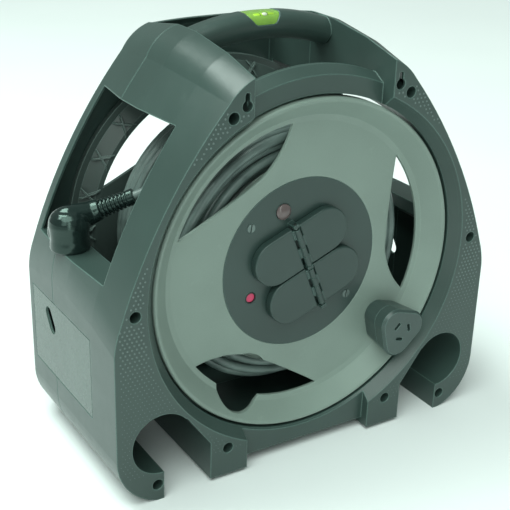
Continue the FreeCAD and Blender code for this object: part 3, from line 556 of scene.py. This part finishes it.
def add_dot(mesh, x, z, radius):
    """A little raised dome on the columns' front plane."""
    rings = []
    for spread, height in dot_rings:
        reach = radius * spread
        y = front_y - dot_height * radius * height
        places = [(x + reach * math.cos(a), y, z + reach * math.sin(a)) for a in angles_round(dot_sides)]
        rings.append([mesh.verts.new(place) for place in places])
    skin_rings(mesh, rings, closed_start=False)


def add_grip_dots(material):
    """Staggered rows of dots on both columns' front faces."""
    mesh = bmesh.new()
    for row in dot_rows:
        z = row * dot_pitch * row_rise
        weight = dot_weight(z)
        for column in dot_columns:
            x = (column + 0.5 * (row % 2)) * dot_pitch
            if weight == 0 or not on_front_face(x, z):
                continue
            for side in (-1, 1):
                shift = random.uniform(-dot_shift, dot_shift)
                add_dot(mesh, side * x + shift, axis_z + z, dot_radius * weight)
    add_mesh("grip_dots", mesh, material, "frame")


# ---- spirit level -----------------------------------------------------------------------------------
def add_level_tube(along, material):
    mesh = bmesh.new()
    lathe(mesh, tube_profile, along)
    add_mesh("level_tube", mesh, material, "frame")


def add_level_marks(along, material):
    """Two fine rings round the tube."""
    mesh = bmesh.new()
    for place in (-mark_place, mark_place):
        lathe(mesh, [(radius, place + offset) for radius, offset in mark_profile], along)
    add_mesh("level_marks", mesh, material, "frame", smooth=False)


def add_level_bubble(middle, material):
    mesh = bmesh.new()
    place = Matrix.Translation(middle + bubble_offset)
    bmesh.ops.create_uvsphere(mesh, u_segments=20, v_segments=12, radius=bubble_radius, matrix=place)
    for vertex in mesh.verts:
        vertex.co.x += bubble_stretch * (vertex.co.x - middle.x)
    add_mesh("level_bubble", mesh, material, "frame")


def add_spirit_level(liquid, mark, bubble):
    """The glass tube in its block, with two marks and a bubble."""
    block_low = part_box("spirit_level")[0]
    middle = Vector((0, block_low.y + tube_in, block_low.z + tube_up))
    along = Matrix.Translation(middle) @ Matrix.Rotation(math.pi / 2, 4, "Y")
    add_level_tube(along, liquid)
    add_level_marks(along, mark)
    add_level_bubble(middle, bubble)


# ---- plug -------------------------------------------------------------------------------------------
def squarish(angle):
    """Radius of a rounded square at an angle, for a plug body with flats to hold it by."""
    return (abs(math.cos(angle)) ** flat_power + abs(math.sin(angle)) ** flat_power) ** (-1 / flat_power)


def boot_place():
    """Place and direction of the boot, and of the plug's neck that it sits on."""
    direction = (lead_route[0] - boot_start).normalized()
    return Matrix.Translation(boot_start) @ direction.to_track_quat("Z", "Y").to_matrix().to_4x4()


def add_plug_body(mesh, heading):
    """The upright round body, with a flat towards its heading and three more round it."""
    rings = []
    for height, share, flats in plug_profile:
        ring = []
        for angle in angles_round(plug_sides):
            radius = plug_radius * share * (1 + flats * (flat_share * squarish(angle - heading) - 1))
            x = plug_centre.x + radius * math.cos(angle)
            y = plug_centre.y + radius * math.sin(angle)
            ring.append(mesh.verts.new((x, y, sill_z + height)))
        rings.append(ring)
    skin_rings(mesh, rings)


def add_spine(mesh, heading):
    """The thick bend that rises at the plug's back, and then runs from its top to the boot."""
    foot = Vector((plug_centre.x, plug_centre.y, sill_z + spine_foot))
    top = foot + Vector((0, 0, spine_rise))
    away = Vector((-math.cos(heading), -math.sin(heading), 0))
    for k in range(spine_beads):
        angle = math.pi / 2 * k / (spine_beads - 1)
        rise = Vector((0, 0, spine_rise * math.cos(angle)))
        add_ball(mesh, spine_radius, foot + away * (plug_radius - spine_radius) * math.sin(angle) + rise)
    for k in range(1, spine_beads):
        add_ball(mesh, spine_radius, top.lerp(boot_start, k / (spine_beads - 1)))


def add_plug(material):
    """An angled plug: a round body with flats, and a thick spine that bends over it into the boot."""
    heading = math.atan2(lead_route[0].y - boot_start.y, lead_route[0].x - boot_start.x)
    mesh = bmesh.new()
    add_plug_body(mesh, heading)
    lathe(mesh, neck_profile, boot_place())
    add_spine(mesh, heading)
    skin = blended("plug", mesh, skin_voxel, skin_smoothing)
    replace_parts(add_mesh("plug_shell", skin, material, "frame"), "plug_body")


def boot_profile(run):
    """A boot as long as run: a plain foot, ribs that taper, and a collar, as (radius, height) pairs."""
    profile = list(boot_foot)
    step = (run - boot_plain) / boot_ribs
    for k in range(boot_ribs):
        start = boot_first_rib + k * step
        groove = boot_groove - groove_taper * k
        rib = boot_rib - rib_taper * k
        profile += [
            (groove, start), (groove, start + 0.32 * step), (rib - rib_edge, start + 0.38 * step),
            (rib, start + 0.5 * step), (rib, start + 0.8 * step), (rib - rib_edge, start + 0.92 * step),
        ]
    end = boot_first_rib + boot_ribs * step
    return profile + [
        (boot_groove, end), (boot_groove, end + 0.0004), (boot_collar, end + 0.0008),
        (boot_collar, run - 0.0006), (0.0074, run), (0.0050, run + 0.0002),
    ]


def add_boot(material):
    """The strain relief on the cord."""
    run = (lead_route[0] - boot_start).length
    mesh = bmesh.new()
    lathe(mesh, boot_profile(run), boot_place(), boot_sides)
    boot = add_mesh("plug_sleeve", mesh, material, "frame", smooth=False)
    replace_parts(boot, "plug_boot")


# ---- camera and studio ------------------------------------------------------------------------------
def add_camera():
    back = Vector((
        math.sin(view_azimuth) * math.cos(view_elevation),
        -math.cos(view_azimuth) * math.cos(view_elevation),
        math.sin(view_elevation),
    ))
    right = Vector((math.cos(view_azimuth), math.sin(view_azimuth), 0))
    up = back.cross(right)
    tilted_right = math.cos(view_roll) * right + math.sin(view_roll) * up
    tilted_up = math.cos(view_roll) * up - math.sin(view_roll) * right
    target = Vector((0, front_y, axis_z))
    data = bpy.data.cameras.new("camera")
    data.lens = view_lens
    data.sensor_width = sensor_width
    camera = bpy.data.objects.new("camera", data)
    camera.matrix_world = Matrix((tilted_right, tilted_up, back)).transposed().to_4x4()
    camera.location = target + view_right * tilted_right + view_up * tilted_up + view_distance * back
    bpy.context.scene.collection.objects.link(camera)
    bpy.context.scene.camera = camera


def add_floor():
    bpy.ops.mesh.primitive_plane_add(size=floor_size, location=(0, 0, 0))
    floor = bpy.context.object
    floor.name = "floor"
    floor.data.materials.append(pale_floor())


def add_light(name, place, target, size, power):
    data = bpy.data.lights.new(name, "AREA")
    data.shape = "RECTANGLE"
    data.size, data.size_y = size
    data.energy = power
    data.color = studio_tint
    light = bpy.data.objects.new(name, data)
    light.location = place
    light.rotation_euler = (Vector(target) - Vector(place)).to_track_quat("-Z", "Y").to_euler()
    bpy.context.scene.collection.objects.link(light)


def add_sun(direction, strength, spread):
    """A broad, even light for the whole studio: direction is where it comes from."""
    data = bpy.data.lights.new("sun", "SUN")
    data.energy = strength
    data.color = studio_tint
    data.angle = math.radians(spread)
    light = bpy.data.objects.new("sun", data)
    light.rotation_euler = Vector(direction).to_track_quat("Z", "Y").to_euler()
    bpy.context.scene.collection.objects.link(light)


def add_world(strength):
    world = bpy.data.worlds.new("studio")
    world.use_nodes = True
    background = world.node_tree.nodes["Background"]
    background.inputs["Color"].default_value = (*studio_tint, 1)
    background.inputs["Strength"].default_value = strength
    bpy.context.scene.world = world


# ---- the reel ---------------------------------------------------------------------------------------
add_camera()

sheath = cord_sheath()
lead = add_cord("lead_cord", lead_route, sheath, "frame", "cord_lead")
winding = add_cord("wound_cord", winding_points(), sheath, "drum", "cord_winding")

black = moulded_plastic("black_plastic", (0.012, 0.016, 0.015), 0.35)
plug_rubber = glossy_plug_rubber()
# The look of each material slot in the record.
surfaces = {
    "shell": moulded_plastic(
        "shell_plastic", (0.037, 0.062, 0.055), 0.32, edge=0.0018, edge_highlight_gain=3.6, cloud_size=7,
    ),
    "drum_plastic": moulded_plastic(
        "drum_plastic", (0.196, 0.250, 0.220), 0.42, edge=0.0024, edge_highlight_gain=1.4, cloud_size=6,
    ),
    "panel": moulded_plastic("panel_plastic", (0.028, 0.050, 0.045), 0.34, edge_highlight_gain=3.4),
    "knob_plastic": moulded_plastic("knob_plastic", (0.044, 0.070, 0.064), 0.30, edge_highlight_gain=3.4),
    "label": moulded_plastic("label_plastic", (0.068, 0.100, 0.088), 0.26, grain=0.00002, edge=0.0008),
    "red_plastic": moulded_plastic("red_plastic", (0.56, 0.035, 0.11), 0.3, edge=0.0006, edge_highlight_gain=1.3),
    "bush": moulded_plastic("bush_plastic", (0.55, 0.56, 0.52), 0.4, edge=0.0004),
    "black_plastic": black,
    "plug_rubber": plug_rubber,
    "cord_rubber": sheath,
    "steel": brushed_metal("dark_steel", (0.17, 0.21, 0.20), 0.34),
    "brass": brushed_metal("brass", (0.72, 0.50, 0.18), 0.3),
    "lens": clear_plastic("lens_smoke", (0.20, 0.15, 0.15), 0.35, 0.06),
    "lamp_glass": clear_plastic("lamp_glass", (0.80, 0.20, 0.22), 0.35, 0.15),
    "vial": clear_plastic("level_block", (0.44, 0.74, 0.14), 0.55, 0.04),
}
for part in record["subparts"]:
    paint_node(part["node"], surfaces[part["material_slot"]])
# Painted shade: the rear flange gets a darker copy of the drum plastic, for the shade inside the reel, though both
# have the same slot.
paint_node("rear_flange", moulded_plastic("rear_drum_shaded_plastic", (0.050, 0.070, 0.064), 0.40, edge_highlight_gain=4.0))

add_grip_dots(moulded_plastic("dot_plastic", (0.105, 0.145, 0.136), 0.38, edge=0.0002))
add_spirit_level(
    liquid=clear_plastic("level_liquid", (0.52, 0.84, 0.06), 0.30, 0.05),
    mark=black,
    bubble=clear_plastic("level_bubble", (0.93, 1.0, 0.80), 0.25, 0.05),
)
add_plug(plug_rubber)
add_boot(plug_rubber)

curve_length(lead)
curve_length(winding)

add_floor()
add_sun(direction=(-0.40, -0.40, 1.0), strength=2.1, spread=50)
add_light("back_left", place=(-0.8, 0.7, 2.2), target=(0, 0, 0.35), size=(1.2, 1.2), power=44)
add_light("key", place=(-1.6, -1.0, 1.3), target=(0, 0, 0.25), size=(0.8, 0.8), power=3)
add_light("strip", place=(-0.9, -1.7, 0.8), target=(0, 0, 0.2), size=(0.4, 1.4), power=6)
add_world(0.26)
bpy.context.scene.view_settings.view_transform = "Standard"
